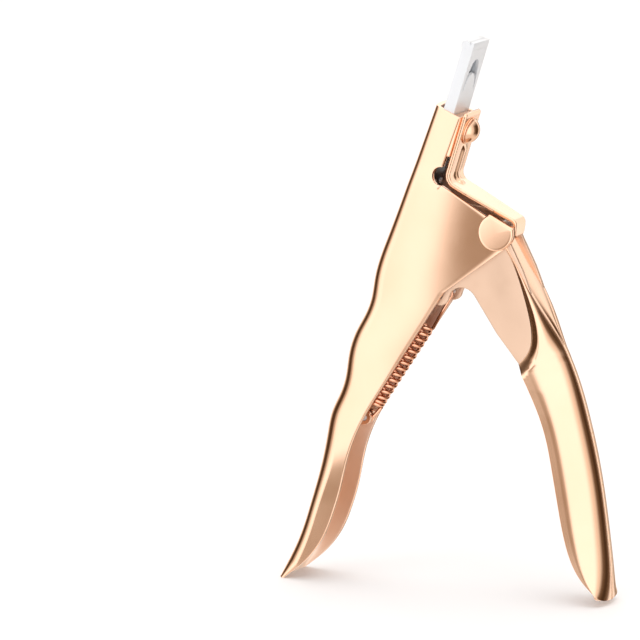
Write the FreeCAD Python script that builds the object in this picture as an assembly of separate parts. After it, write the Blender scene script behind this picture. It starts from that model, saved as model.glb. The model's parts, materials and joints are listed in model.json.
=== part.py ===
import FreeCAD, Part
import math
import os
from FreeCAD import Vector

# False-nail tip cutter, millimetres. X runs from the fixed handle to the lever, Y across the width,
# Z up. The tool stands on its two handle tips, open. Apart from the pivot's round boss, which is on
# the near (-Y) cheek only, it is symmetric about the plane y = 0.

# Sheet and overall widths
WALL = 1.2                  # thickness of both pressed shells
HALF_WIDTH_FOOT = 7.8       # half width of the handles at the tips
HALF_WIDTH_TOP = 6.72       # half width where the sides' taper is measured, at TAPER_TOP
TAPER_FOOT, TAPER_TOP = -8.0, 150.0
WEB_HALF = 5.4              # half width over the lever's two webs
SPINE_ROUND_TOP = 1.9       # edge rounding of the fixed handle's back, at the head
SPINE_ROUND_FOOT = 6.2      # the same at the tip
LEVER_ROUND_TOP = 5.0       # the same for the lever, at its top and at its tip
LEVER_ROUND_FOOT = 6.2
ROUND_SHARE = 0.7           # the inner rounding is smaller than the outer one by this share of the sheet
LEVER_SHOULDER = 60.0       # above this height the lever narrows, to pass between the cheeks
LEVER_TOP, LEVER_TOP_HALF = 99.3, 5.75

# Pivot and the two other lever pins
PIVOT = (16.8, 104.0)
BOSS_R = 5.2
BOSS_LIFT = 0.9             # how far the round boss stands out of the near cheek
FAR_CHEEK_END = 19.4        # front end of the far cheek, which has no boss
LEVER_GAP = 0.4             # clearance between the boss and the lever's wide part
PIVOT_PIN_R = 1.6
PIN_START = -7.0            # near end of the pivot pin, just inside the near boss
BUSH_R = 2.3
RUNNING = 0.05              # radial clearance of turning fits
EYE_R = 3.1                 # outer radius of the lever's webs around the pivot
SHIM = 0.35                 # thickness of the washers between the webs and the cheeks
BOSS_SIDE_TURN, CREST_TURN = -35.0, -43.0              # directions from the pivot, in degrees
EAR_TURNS, EYE_TURNS = (-8.0, -110.0, 138.0), (138.0, -30.0)
ARM_LENGTH = 24.0           # pivot to drive pin
ARM_START = 7.0             # degrees that the arm hangs below square to the blade's path
ARM_FOOT = -ARM_LENGTH * math.sin(math.radians(ARM_START))   # the drive pin's place in the head
ARM_OUT = -ARM_LENGTH * math.cos(math.radians(ARM_START))
ARM_END_R = 3.0
DRIVE_PIN_R = 1.25
EAR = (-0.9, 84.5)          # centre of the lever's spring ears
EAR_R = 2.7
SPRING_PIN_R = 0.9

# Head: the blade's path leans forward by HEAD_LEAN. Places in the head are given as
# (along, out): millimetres up the path from the pivot's foot on it, and out of the front face.
HEAD_LEAN = 17.5
GUIDE_BACK, GUIDE_FACE = -25.65, -22.45
GUIDE_HALF = 5.5
GUIDE_SIDE = 0.7
PLATE = 0.8                 # thickness of the guide's back wall and of its front plate
GUIDE_LOW, GUIDE_HIGH = 14.5, 47.4
PLATE_HIGH = 45.15          # top of the front plate
ROLL_R = 1.35               # rolled upper end of the guide
ROLL_IN, NOTCH_OUT = 0.9, 2.2    # the rolled end's centre and its notch, from the guide's back
TOUCH_GAP, PLATE_SIDE_GAP = 0.05, 0.03
ARCH_FOOT, ARCH_TOP, ARCH_HALF = 33.0, 42.2, 4.0
TONGUE_TOP, TONGUE_HALF = 37.9, 3.4      # tongue inside the arched slot, under the nail tip
GUIDE_RIVET_AT, RIVET_R, RIVET_OFF = 17.6, 0.45, 4.2
BLADE_BACK, BLADE_FACE = -24.65, -23.40
BLADE_HALF, BLADE_TANG_HALF = 4.6, 3.4
BLADE_LOW, BLADE_NECK, BLADE_SHOULDER, BLADE_TIP = 2.2, 24.0, 33.0, 38.0
CROWN_HALF = 3.7
BLADE_RIVET_AT, BLADE_RIVET_Y = 5.2, 2.2
RIVET_CAP, RIVET_CAP_HIGH = 0.85, 0.35
CARRIER_LOW, CARRIER_HIGH, TONGUE_HIGH = -7.0, 2.0, 8.0
CARRIER_BACK, CARRIER_FACE, CARRIER_HALF = -27.0, -20.9, 4.0
SLOT_REACH, SLOT_GAP = 0.35, 0.1     # half length and radial clearance of the drive pin's slot
BRIDGE_LOW, BRIDGE_HIGH, BRIDGE_BACK, BRIDGE_HALF = 14.5, 26.4, -22.35, 6.1

# Cover bracket, its screw and washer
STRAP_BACK = -19.9          # inner face of the cover bracket's upper leg
STRAP_THICK, STRAP_TOP = 1.3, 27.8
STRAP_HALF, STRAP_HOOK_HALF = 5.2, 3.4   # half width of the upper leg, and at the hook
BEND_R = 4.0                # inner radius of the strap's main bend
HOOK_AT, HOOK_DROP = 15.5, 4.2           # length of the lower leg, and of the hook at its end
HOOK_IN_R, HOOK_OUT_R, HOOK_SLANT = 0.8, 2.1, -0.12
RIB_HALF, RIB_HIGH = 1.1, 0.7
RIB_TOP, RIB_END = 17.6, 8.0             # where the rib starts on the upper leg and ends on the lower one
SCREW_ALONG = 22.2
SCREW_R, DOME_R, DOME_HIGH = 2.0, 3.7, 2.5
WASHER_R, WASHER_THICK = 3.95, 0.45
HOLE_GAP = 0.15             # radial clearance of the screw in the strap and the washer

# Return spring
WIRE_R = 0.5
COIL_R = 2.2                # radius of the wire's centre line
COIL_PITCH = 2.05
SPRING_FOOT = (-25.6, 47.4)  # eye of the spring's lower hook
LOWER_LEAD, UPPER_LEAD = 4.6, 11.0   # lengths from each loop to the coils
LOOP_R = 1.5                # centre-line radius of the loops around the two pins
FORK_R, FORK_HALF, FORK_SLOT = 2.1, 1.9, 0.75
FORK_REACH, FORK_FLARE, FORK_DEPTH = 12.0, 0.9, 5.2

# Sizes that only have to reach past the part when a shape is cut
FAR = 60.0
WIDE = 20.0
FOOT_BELOW = -8.0
BAR_REACH = 90.0
ABOVE_HEAD, ABOVE_TIP = 162.0, 1.0
ROOM_CORNER = (20.0, 62.0)
HOLLOW_TOP, BEND_TOP = 125.0, 13.5   # where the handle's hollow ends, and the head's channel starts

lean = math.radians(HEAD_LEAN)
UP = (math.sin(lean), math.cos(lean))
OUT = (math.cos(lean), -math.sin(lean))


def at(x, z, y=0.0):
    return Vector(x, y, z)


def head(along, out, y=0.0):
    return at(PIVOT[0] + along * UP[0] + out * OUT[0], PIVOT[1] + along * UP[1] + out * OUT[1], y)


def polar(centre, radius, degrees, y=0.0):
    angle = math.radians(degrees)
    return at(centre[0] + radius * math.cos(angle), centre[1] + radius * math.sin(angle), y)


def line(a, b):
    return Part.makeLine(a, b)


def out_dir():
    return Vector(OUT[0], 0, OUT[1])


def up_dir():
    return Vector(UP[0], 0, UP[1])


def arc(a, via, b):
    return Part.Arc(a, via, b).toShape()


def spline(points):
    curve = Part.BSplineCurve()
    curve.interpolate([at(*p) for p in points])
    return curve.toShape()


def chain(points):
    return [line(a, b) for a, b in zip(points, points[1:])]


def prism(edges, half):
    face = Part.Face(Part.Wire(Part.__sortEdges__(edges)))
    face.translate(Vector(0, -half, 0))
    return face.extrude(Vector(0, 2 * half, 0))


def slab(corners, half):
    return prism(chain(corners + corners[:1]), half)


def across(centre, radius, y0, y1):
    return Part.makeCylinder(radius, y1 - y0, Vector(centre[0], y0, centre[1]), Vector(0, 1, 0))


def shifted(points, distance):
    """Points moved sideways off the line through them, to the right of its direction."""
    moved = []
    for i, (x, z) in enumerate(points):
        x0, z0 = points[max(i - 1, 0)]
        x1, z1 = points[min(i + 1, len(points) - 1)]
        size = math.hypot(x1 - x0, z1 - z0)
        moved.append((x + distance * (z1 - z0) / size, z - distance * (x1 - x0) / size))
    return moved


def tapered(inset):
    """The space between the two side faces, as one long bar along X, inset on each side."""
    corners = [(-HALF_WIDTH_FOOT + inset, TAPER_FOOT), (HALF_WIDTH_FOOT - inset, TAPER_FOOT),
               (HALF_WIDTH_TOP - inset, TAPER_TOP), (-HALF_WIDTH_TOP + inset, TAPER_TOP)]
    wire = Part.makePolygon([Vector(-BAR_REACH, y, z) for y, z in corners + corners[:1]])
    return Part.Face(wire).extrude(Vector(2 * BAR_REACH, 0, 0))


def rounded_blank(points, far_x, inset, round_first, round_last):
    """Bar bounded by a curved back through points, its two long back edges rounded."""
    back = spline(points)
    first, last = points[0], points[-1]
    rest = chain([at(*last), at(far_x, last[1]), at(far_x, first[1]), at(*first)])
    body = prism([back] + rest, 20.0).common(tapered(inset))
    edges = [e for e in body.Edges if e.Length > 60 and e.Curve.TypeId != "Part::GeomLine"]
    return body.makeFillet(round_last, round_first, edges)


def clean(shape):
    solids = shape.removeSplitter().Solids
    return solids[0] if len(solids) == 1 else Part.makeCompound(solids)


def save(name, shape):
    os.makedirs("parts", exist_ok=True)
    shape.exportStep("parts/%s.step" % name)
    box = shape.optimalBoundingBox(False, False)
    print("%-16s solids %d valid %s volume %8.1f  x %.2f..%.2f y %.2f..%.2f z %.2f..%.2f" % (
        name, len(shape.Solids), shape.isValid(), shape.Volume,
        box.XMin, box.XMax, box.YMin, box.YMax, box.ZMin, box.ZMax))


# Outlines in the plane y = 0 -------------------------------------------------------------

# Back of the fixed handle, from above the head down past the tip, with its two finger waves
BODY_BACK = [(1.3, 148.5), (-2.5, 138.5), (-9.9, 119.3), (-17.3, 100.8), (-21.8, 88.2), (-23.0, 82.0),
             (-25.0, 77.2), (-27.7, 72.4), (-30.1, 65.0), (-31.0, 59.5), (-32.8, 54.2), (-35.3, 49.0),
             (-36.7, 42.5), (-38.4, 32.5), (-41.3, 21.5), (-45.2, 10.6), (-49.8, 1.0), (-53.6, -7.0)]

# Open edge of the fixed handle below the cheeks, from the cheek down to the tip
BODY_EDGE = [(-21.4, 52.3), (-24.9, 46.2), (-27.6, 40.2), (-29.3, 34.5), (-31.0, 26.8), (-33.2, 19.6),
             (-36.2, 12.6), (-40.6, 6.6), (-48.3, 0.0)]
BODY_TIP = (-49.45, 0.35)

# Back of the lever, from above the pivot down past the tip
LEVER_BACK = [(15.0, 108.3), (19.7, 99.7), (24.0, 92.0), (28.3, 84.4), (33.8, 74.2), (38.8, 62.8),
              (41.9, 52.6), (44.8, 40.6), (46.8, 29.4), (48.3, 18.1), (49.2, 9.0), (49.3, 3.0), (48.9, -4.0)]

# Open edge of the lever, from the webs' notch down to the tip
LEVER_EDGE = [(22.9, 67.0), (28.0, 57.2), (31.4, 48.5), (33.8, 37.8), (35.7, 27.6), (37.9, 17.6),
              (40.2, 11.4), (43.2, 6.9), (46.4, 3.8)]
LEVER_TIP = (48.9, 0.0)
LEVER_CREST = 101.3         # top of the lever's folded back, just under the bracket's hook

# Step where the lever widens from its webs to the handle's full width
STEP = [(19.0, 98.85), (20.6, 96.2), (22.6, 91.5), (25.4, 82.6), (26.6, 76.5), (26.2, 71.6), (22.9, 67.0)]

# Webs: round notch between the spring ear and the open edge, then the root inside the wide part
NOTCH = [(2.5, 85.9), (6.0, 87.3), (9.6, 85.2)]
WEB_EDGE = (16.2, 75.2)
WEB_ROOT = [(25.5, 66.5), (27.9, 71.0), (28.0, 77.0), (26.4, 84.0), (23.6, 90.0)]

CHEEK_LOW = (18.9, 99.2)    # where the cheek's lower edge meets the pivot boss
CHEEK_CORNER = (1.0, 85.9)  # where the cheek's lower edge turns into the handle's open edge
SLOPE_TOP, SLOPE_END = (0.3, 116.0), (13.2, 108.5)
FRONT_TOP, FRONT_LOW = (5.6, 135.2), (0.3, 121.1)
BACK_TOP = (-2.5, 138.5)    # top corner of the fixed handle's back
HOLLOW = (-2.7, 118.2)      # deepest point of the round hollow behind the bracket's bend
SHELF = [(14.4, 108.99), (21.87, 105.14)]   # flat top of the pivot bosses and of the cheek behind them
LEG_START, LEG_END = at(6.4, 113.14), at(27.5, 102.27)   # line of the lower leg's underside


def body_outline():
    edges = [spline(BODY_EDGE), line(at(*CHEEK_CORNER), at(*BODY_EDGE[0])),
             line(at(*CHEEK_LOW), at(*CHEEK_CORNER))]
    boss_side = polar(PIVOT, BOSS_R, BOSS_SIDE_TURN)
    edges.append(arc(at(*SHELF[1]), boss_side, at(*CHEEK_LOW)))
    edges += chain([at(*SHELF[1]), at(*SHELF[0]), at(*SLOPE_END), at(*SLOPE_TOP)])
    edges.append(arc(at(*SLOPE_TOP), at(*HOLLOW), at(*FRONT_LOW)))
    edges += chain([at(*FRONT_LOW), at(*FRONT_TOP), at(*BACK_TOP), at(-FAR, ABOVE_HEAD), at(-FAR, ABOVE_TIP),
                    at(*BODY_TIP), at(*BODY_EDGE[-1])])
    return edges


def boss_solid():
    """Round pivot boss on the near cheek, cut flat where the bracket's lower leg passes."""
    disc = across(PIVOT, BOSS_R, -WIDE, 0.0)
    below = slab([LEG_START, LEG_END, at(FAR, 0), at(-FAR, 0)], WIDE)
    return disc.common(below).common(tapered(-BOSS_LIFT))


def lower_room():
    """Everything below the head, for cutting a hollow off there."""
    return slab([at(-FAR, FOOT_BELOW), at(FAR, FOOT_BELOW), at(FAR, HOLLOW_TOP), at(-FAR, HOLLOW_TOP)], WIDE)


def body_hollow():
    """Inside of the fixed handle: below the head, up the head's channel, and where the two meet."""
    back = shifted(BODY_BACK[3:], -WALL)
    main_room = rounded_blank(back, FAR, WALL, SPINE_ROUND_TOP - ROUND_SHARE, SPINE_ROUND_FOOT - WALL)
    rear = GUIDE_BACK - SLOT_GAP
    channel = slab([head(FAR, rear), head(FAR, WIDE), head(-2, WIDE), head(-2, rear)], WIDE)
    bend_back = [at(*point) for point in shifted(BODY_BACK[2:5], -WALL)]
    bend = slab([bend_back[0], head(BEND_TOP, rear), head(BEND_TOP, WIDE), at(FAR, 86), bend_back[2],
                 bend_back[1]], WIDE)
    head_room = channel.fuse(bend).common(tapered(WALL))
    return main_room.common(lower_room()).fuse(head_room)


def build_body_shell():
    outer = rounded_blank(BODY_BACK, FAR, 0.0, SPINE_ROUND_TOP, SPINE_ROUND_FOOT)
    outer = outer.common(prism(body_outline(), WIDE)).fuse(boss_solid())
    bridge = block(BRIDGE_LOW, BRIDGE_HIGH, BRIDGE_BACK, STRAP_BACK, BRIDGE_HALF)
    far_end = slab([at(FAR_CHEEK_END, 0), at(FAR, 0), at(FAR, TAPER_TOP), at(FAR_CHEEK_END, TAPER_TOP)], WIDE)
    far_end.translate(Vector(0, WIDE, 0))
    body = outer.cut(far_end).cut(body_hollow()).fuse(bridge)
    pin_hole = across(PIVOT, PIVOT_PIN_R, PIN_START, WIDE)
    screw_hole = Part.makeCylinder(SCREW_R, WIDE, head(SCREW_ALONG, GUIDE_BACK), out_dir())
    return clean(body.cut(pin_hole).cut(screw_hole))


def layer(points, inner, outer, in_radii, out_radii, half):
    """A bent strip between two distances off the same run of points, its corners turned by arcs."""
    low = bent(parallel(points, inner), in_radii)
    high = bent(parallel(points, outer), out_radii)
    ends = [line(low[0].Vertexes[0].Point, high[0].Vertexes[0].Point),
            line(low[-1].Vertexes[-1].Point, high[-1].Vertexes[-1].Point)]
    return prism(low + high + ends, half)


def build_cover_bracket():
    """L-shaped strap: upper leg on the bridge, lower leg between the bosses, its end hooked down."""
    way = (LEG_END - LEG_START).normalize()
    top = head(STRAP_TOP, STRAP_BACK)
    corner = meet(top, up_dir(), LEG_START, way)
    hook_turn = LEG_START + way * HOOK_AT
    hook_end = hook_turn + Vector(HOOK_SLANT, 0, -1).normalize() * HOOK_DROP
    strap = layer([top, corner, hook_turn, hook_end], 0.0, STRAP_THICK, [BEND_R, HOOK_IN_R],
                  [BEND_R - STRAP_THICK, HOOK_OUT_R], STRAP_HALF).common(strap_plan(hook_turn))
    rib = layer([head(RIB_TOP, STRAP_BACK), corner, LEG_START + way * RIB_END], STRAP_THICK,
                STRAP_THICK + RIB_HIGH, [BEND_R - STRAP_THICK], [BEND_R - STRAP_THICK - RIB_HIGH], RIB_HALF)
    hole = Part.makeCylinder(SCREW_R + HOLE_GAP, WIDE, head(SCREW_ALONG, BRIDGE_BACK), out_dir())
    return clean(strap.fuse(rib).cut(hole))


def strap_plan(hook_turn):
    """The strap's outline seen from above: full width on the upper leg, narrowing to the hook."""
    far_x = hook_turn.x + STRAP_THICK
    side = [(-FAR, STRAP_HALF), (LEG_START.x, STRAP_HALF), (far_x, STRAP_HOOK_HALF)]
    corners = [Vector(x, y, 0) for x, y in side] + [Vector(x, -y, 0) for x, y in reversed(side)]
    return Part.Face(Part.makePolygon(corners + corners[:1])).extrude(Vector(0, 0, TAPER_TOP))


def meet(p, p_dir, q, q_dir):
    """Where two lines in the plane y = 0 cross."""
    across_q = Vector(-q_dir.z, 0, q_dir.x)
    return p + p_dir * ((q - p).dot(across_q) / p_dir.dot(across_q))


def parallel(points, distance):
    """The open run of points moved sideways by distance, to the left of its direction."""
    sides = []
    for a, b in zip(points, points[1:]):
        d = (b - a).normalize()
        sides.append((a + Vector(-d.z, 0, d.x) * distance, d))
    moved = [sides[0][0]]
    for (p, p_dir), (q, q_dir) in zip(sides, sides[1:]):
        moved.append(meet(p, p_dir, q, q_dir))
    last, d = sides[-1]
    moved.append(last + d * (points[-1] - points[-2]).Length)
    return moved


def bent(points, radii):
    """Straight runs through points, each inner corner turned by an arc of its radius."""
    edges, start = [], points[0]
    for before, corner, after, radius in zip(points, points[1:], points[2:], radii):
        a, b = (before - corner).normalize(), (after - corner).normalize()
        half = a.getAngle(b) / 2
        reach = radius / math.tan(half)
        middle = corner + (a + b).normalize() * (radius / math.sin(half) - radius)
        edges += [line(start, corner + a * reach), arc(corner + a * reach, middle, corner + b * reach)]
        start = corner + b * reach
    return edges + [line(start, points[-1])]


def build_clamp_screw():
    base = STRAP_BACK + STRAP_THICK + WASHER_THICK
    centre = (DOME_R ** 2 - DOME_HIGH ** 2) / (2 * DOME_HIGH)
    ball = Part.makeSphere(centre + DOME_HIGH, head(SCREW_ALONG, base - centre))
    dome = ball.common(Part.makeCylinder(DOME_R, 2 * DOME_HIGH, head(SCREW_ALONG, base), out_dir()))
    shank = Part.makeCylinder(SCREW_R - RUNNING, base - GUIDE_FACE - TOUCH_GAP,
                              head(SCREW_ALONG, GUIDE_FACE + TOUCH_GAP), out_dir())
    return clean(dome.fuse(shank))


def build_screw_washer():
    start = head(SCREW_ALONG, STRAP_BACK + STRAP_THICK)
    ring = Part.makeCylinder(WASHER_R, WASHER_THICK, start, out_dir())
    return ring.cut(Part.makeCylinder(SCREW_R + HOLE_GAP, WASHER_THICK, start, out_dir()))


def half_oval(out0, out1, foot, top, half):
    """Half an ellipse standing on its foot line, as thick as the step from out0 to out1."""
    oval = Part.Ellipse(head(top, out0), head(foot, out0, half), head(foot, out0))
    curve = Part.ArcOfEllipse(oval, -math.pi / 2, math.pi / 2).toShape()
    ends = [v.Point for v in curve.Vertexes]
    face = Part.Face(Part.Wire([curve, line(ends[1], ends[0])]))
    return face.extrude(out_dir() * (out1 - out0))


def block(along0, along1, out0, out1, half):
    return slab([head(along0, out0), head(along1, out0), head(along1, out1), head(along0, out1)], half)


def build_guide_frame():
    channel = block(GUIDE_LOW, GUIDE_HIGH, GUIDE_BACK, GUIDE_FACE, GUIDE_HALF)
    inner_half = GUIDE_HALF - GUIDE_SIDE
    room = block(GUIDE_LOW - 1, PLATE_HIGH + TOUCH_GAP, GUIDE_BACK + PLATE, GUIDE_FACE + 1, inner_half)
    roll_centre = head(GUIDE_HIGH - ROLL_R, GUIDE_BACK + ROLL_IN)
    roll = across((roll_centre.x, roll_centre.z), ROLL_R, -GUIDE_HALF, GUIDE_HALF)
    notch = block(GUIDE_HIGH - ROLL_IN, GUIDE_HIGH + 1, GUIDE_BACK - 1, GUIDE_BACK + NOTCH_OUT, GUIDE_HALF + 1)
    frame = channel.cut(room).cut(notch).fuse(roll)
    return clean(frame.cut(nail_arch()).cut(build_guide_rivets()))


def nail_arch():
    """The crescent slot for the nail tip, right through the guide, round the tongue that carries it."""
    back, front = GUIDE_BACK - 3, GUIDE_FACE + 3
    arch = half_oval(back, front, ARCH_FOOT, ARCH_TOP, ARCH_HALF)
    return arch.cut(half_oval(back, front, ARCH_FOOT, TONGUE_TOP, TONGUE_HALF))


def build_guide_rivets():
    deep = GUIDE_FACE - GUIDE_BACK
    return Part.makeCompound([Part.makeCylinder(RIVET_R, deep, head(GUIDE_RIVET_AT, GUIDE_BACK, y), out_dir())
                              for y in (-RIVET_OFF, RIVET_OFF)])


def build_guide_plate():
    half = GUIDE_HALF - GUIDE_SIDE - PLATE_SIDE_GAP
    plate = block(GUIDE_LOW, PLATE_HIGH, GUIDE_FACE - PLATE, GUIDE_FACE, half)
    return clean(plate.cut(nail_arch()).cut(build_guide_rivets()))


def build_blade():
    wide = block(BLADE_NECK, BLADE_SHOULDER, BLADE_BACK, BLADE_FACE, BLADE_HALF)
    tang = block(BLADE_LOW, BLADE_NECK, BLADE_BACK, BLADE_FACE, BLADE_TANG_HALF)
    crown = half_oval(BLADE_BACK, BLADE_FACE, BLADE_SHOULDER, BLADE_TIP, CROWN_HALF)
    blade = wide.fuse(tang).fuse(crown)
    return clean(blade.cut(rivet_shanks()))


def rivet_shanks():
    deep = BLADE_FACE - GUIDE_BACK
    return Part.makeCompound([Part.makeCylinder(RIVET_R, deep, head(BLADE_RIVET_AT, GUIDE_BACK, y), out_dir())
                              for y in (-BLADE_RIVET_Y, BLADE_RIVET_Y)])


def build_blade_carrier():
    """Block behind the cheeks: a cross slot for the drive pin, and a tongue riveted to the blade."""
    base = block(CARRIER_LOW, CARRIER_HIGH, CARRIER_BACK, CARRIER_FACE, CARRIER_HALF)
    body = base.fuse(block(CARRIER_HIGH, TONGUE_HIGH, GUIDE_BACK, BLADE_BACK, CARRIER_HALF))
    radius = DRIVE_PIN_R + SLOT_GAP
    pin = drive_pin_centre()
    for shift in (-SLOT_REACH, SLOT_REACH):
        body = body.cut(across((pin.x + shift * OUT[0], pin.z + shift * OUT[1]), radius, -WIDE, WIDE))
    low, high = ARM_FOOT - radius, ARM_FOOT + radius
    body = body.cut(block(low, high, ARM_OUT - SLOT_REACH, ARM_OUT + SLOT_REACH, WIDE))
    return clean(body.cut(rivet_shanks()))


def build_blade_rivets():
    rivets = []
    for shank, y in zip(rivet_shanks().Solids, (-BLADE_RIVET_Y, BLADE_RIVET_Y)):
        cap = Part.makeCylinder(RIVET_CAP, RIVET_CAP_HIGH, head(BLADE_RIVET_AT, BLADE_FACE, y), out_dir())
        rivets.append(clean(shank.fuse(cap)))
    return Part.makeCompound(rivets)


def drive_pin_centre():
    return head(ARM_FOOT, ARM_OUT)


def narrowed(inset):
    """Space for the lever: open below its shoulder, narrowing above it, inset on each side."""
    shoulder = half_width(LEVER_SHOULDER)
    slope = (LEVER_TOP_HALF - shoulder) / (LEVER_TOP - LEVER_SHOULDER)
    top = shoulder + slope * (TAPER_TOP - LEVER_SHOULDER) - inset
    side = [(WIDE, FOOT_BELOW), (WIDE, LEVER_SHOULDER), (shoulder - inset, LEVER_SHOULDER), (top, TAPER_TOP)]
    corners = [Vector(-FAR, y, z) for y, z in side] + [Vector(-FAR, -y, z) for y, z in reversed(side)]
    return Part.Face(Part.makePolygon(corners + corners[:1])).extrude(Vector(2 * FAR, 0, 0))


def build_lever_shell():
    blank = rounded_blank(LEVER_BACK, -FAR, 0.0, LEVER_ROUND_TOP, LEVER_ROUND_FOOT)
    wide = blank.common(prism(wide_outline(), WIDE)).common(narrowed(0.0))
    web = prism(web_outline(), WEB_HALF).common(blank)
    eye = across(PIVOT, EYE_R, -WEB_HALF, WEB_HALF).fuse(arm_solid(WEB_HALF))
    hollow = rounded_blank(shifted(LEVER_BACK, WALL), -FAR, WALL, LEVER_ROUND_TOP - ROUND_SHARE,
                           LEVER_ROUND_FOOT - WALL)
    wide_room = hollow.common(prism(wide_room_outline(), WIDE)).common(narrowed(WALL))
    wide_room = wide_room.cut(across(PIVOT, BOSS_R + LEVER_GAP + WALL, -WIDE, WIDE))
    between = WEB_HALF - WALL
    web_room = hollow.common(slab([at(-FAR, FOOT_BELOW), at(FAR, FOOT_BELOW), at(FAR, HOLLOW_TOP),
                                   at(-FAR, HOLLOW_TOP)], between))
    above = slab([at(-FAR, LEVER_CREST), at(FAR, LEVER_CREST), at(FAR, TAPER_TOP), at(-FAR, TAPER_TOP)],
                 between)
    shell = wide.fuse(web).fuse(eye).cut(wide_room).cut(web_room).cut(above)
    pin = drive_pin_centre()
    for centre, radius in ((PIVOT, BUSH_R), ((pin.x, pin.z), DRIVE_PIN_R), (EAR, SPRING_PIN_R)):
        shell = shell.cut(across(centre, radius, -WIDE, WIDE))
    return clean(shell)


def wide_outline():
    """Handle region of the lever: step, open edge, tip, then far outside the rounded back."""
    clear = BOSS_R + LEVER_GAP
    crest_x = PIVOT[0] + math.sqrt(clear ** 2 - (PIVOT[1] - LEVER_CREST) ** 2)
    middle = polar(PIVOT, clear, CREST_TURN)
    edges = [spline(STEP), spline(LEVER_EDGE)]
    edges += chain([at(*LEVER_EDGE[-1]), at(*LEVER_TIP), at(FAR, LEVER_TIP[1]), at(FAR, LEVER_CREST),
                    at(crest_x, LEVER_CREST)])
    return edges + [arc(at(crest_x, LEVER_CREST), middle, at(*STEP[0]))]


def wide_room_outline():
    """Hollow of the same region: a wall inside the step and the crest, open past the open edge."""
    inner_step = shifted(STEP, -WALL)
    top = LEVER_CREST - WALL
    return [spline(inner_step)] + chain([at(*inner_step[-1]), at(*ROOM_CORNER), at(ROOM_CORNER[0], FOOT_BELOW),
                                         at(FAR, FOOT_BELOW), at(FAR, top), at(inner_step[0][0], top),
                                         at(*inner_step[0])])


def web_outline():
    """The two flat webs: spring ear, round notch, open edge, and a root inside the wide part."""
    ear_right, ear_low, ear_left = [polar(EAR, EAR_R, turn) for turn in EAR_TURNS]
    eye_left, eye_right = [polar(PIVOT, EYE_R, turn) for turn in EYE_TURNS]
    notch = [at(*point) for point in NOTCH]
    edges = [arc(ear_left, ear_low, ear_right), line(ear_right, notch[0]), arc(*notch)]
    root = [at(*point) for point in [WEB_EDGE, LEVER_EDGE[0]] + WEB_ROOT]
    return edges + chain([notch[-1]] + root + [eye_right, eye_left, ear_left])


def arm_solid(half):
    """Two arms from the pivot to the drive pin, tangent to a disc at each end."""
    pin = drive_pin_centre()
    run = Vector(pin.x - PIVOT[0], 0, pin.z - PIVOT[1])
    tilt = math.degrees(math.atan2(run.z, run.x))
    spread = math.degrees(math.acos((EYE_R - ARM_END_R) / run.Length))
    root = [polar(PIVOT, EYE_R, tilt + spread), polar(PIVOT, EYE_R, tilt - spread)]
    tip = [polar((pin.x, pin.z), ARM_END_R, tilt - spread), polar((pin.x, pin.z), ARM_END_R, tilt + spread)]
    disc = across((pin.x, pin.z), ARM_END_R, -half, half)
    return slab(root + tip, half).fuse(disc)


def half_width(z):
    """Half width over the plain sides of the handles, at a height."""
    slope = (HALF_WIDTH_FOOT - HALF_WIDTH_TOP) / (TAPER_TOP - TAPER_FOOT)
    return HALF_WIDTH_FOOT - slope * (z - TAPER_FOOT)


def build_pivot_pin():
    return across(PIVOT, PIVOT_PIN_R, PIN_START, half_width(PIVOT[1] + PIVOT_PIN_R))


def build_pivot_bush():
    half = WEB_HALF - RUNNING
    return across(PIVOT, BUSH_R, -half, half).cut(across(PIVOT, PIVOT_PIN_R + RUNNING, -half, half))


def build_pivot_washers():
    rings = []
    for side in (-1, 1):
        y0 = WEB_HALF if side > 0 else -WEB_HALF - SHIM
        ring = across(PIVOT, EYE_R - 0.1, y0, y0 + SHIM)
        rings.append(ring.cut(across(PIVOT, PIVOT_PIN_R + RUNNING, y0, y0 + SHIM)))
    return Part.makeCompound(rings)


def build_drive_pin():
    centre = drive_pin_centre()
    return across((centre.x, centre.z), DRIVE_PIN_R, -WEB_HALF, WEB_HALF)


def build_spring_pin():
    return across(EAR, SPRING_PIN_R, -WEB_HALF, WEB_HALF)


def build_spring_anchor():
    """Small fork welded to the inside of the fixed handle's back, for the spring's lower hook."""
    x, z = SPRING_FOOT
    wide_end = FORK_R + FORK_FLARE
    fork = slab([at(x - FORK_REACH, z - wide_end), at(x, z - FORK_R), at(x, z + FORK_R),
                 at(x - FORK_REACH, z + wide_end)], FORK_HALF)
    fork = fork.fuse(across(SPRING_FOOT, FORK_R, -FORK_HALF, FORK_HALF))
    left, right, low, high = x - FORK_DEPTH, x + FORK_DEPTH, z - FORK_DEPTH, z + FORK_DEPTH
    slot = slab([at(left, low), at(right, low), at(right, high), at(left, high)], FORK_SLOT)
    inside = rounded_blank(shifted(BODY_BACK, -WALL), FAR, WALL, SPINE_ROUND_TOP - ROUND_SHARE,
                           SPINE_ROUND_FOOT - WALL)
    return clean(fork.cut(slot).common(inside).cut(across(SPRING_FOOT, SPRING_PIN_R, -WIDE, WIDE)))


def build_anchor_pin():
    return across(SPRING_FOOT, SPRING_PIN_R, -FORK_HALF, FORK_HALF)


def rod(a, b, radius):
    return Part.makeCylinder(radius, (b - a).Length, a, b - a)


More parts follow.
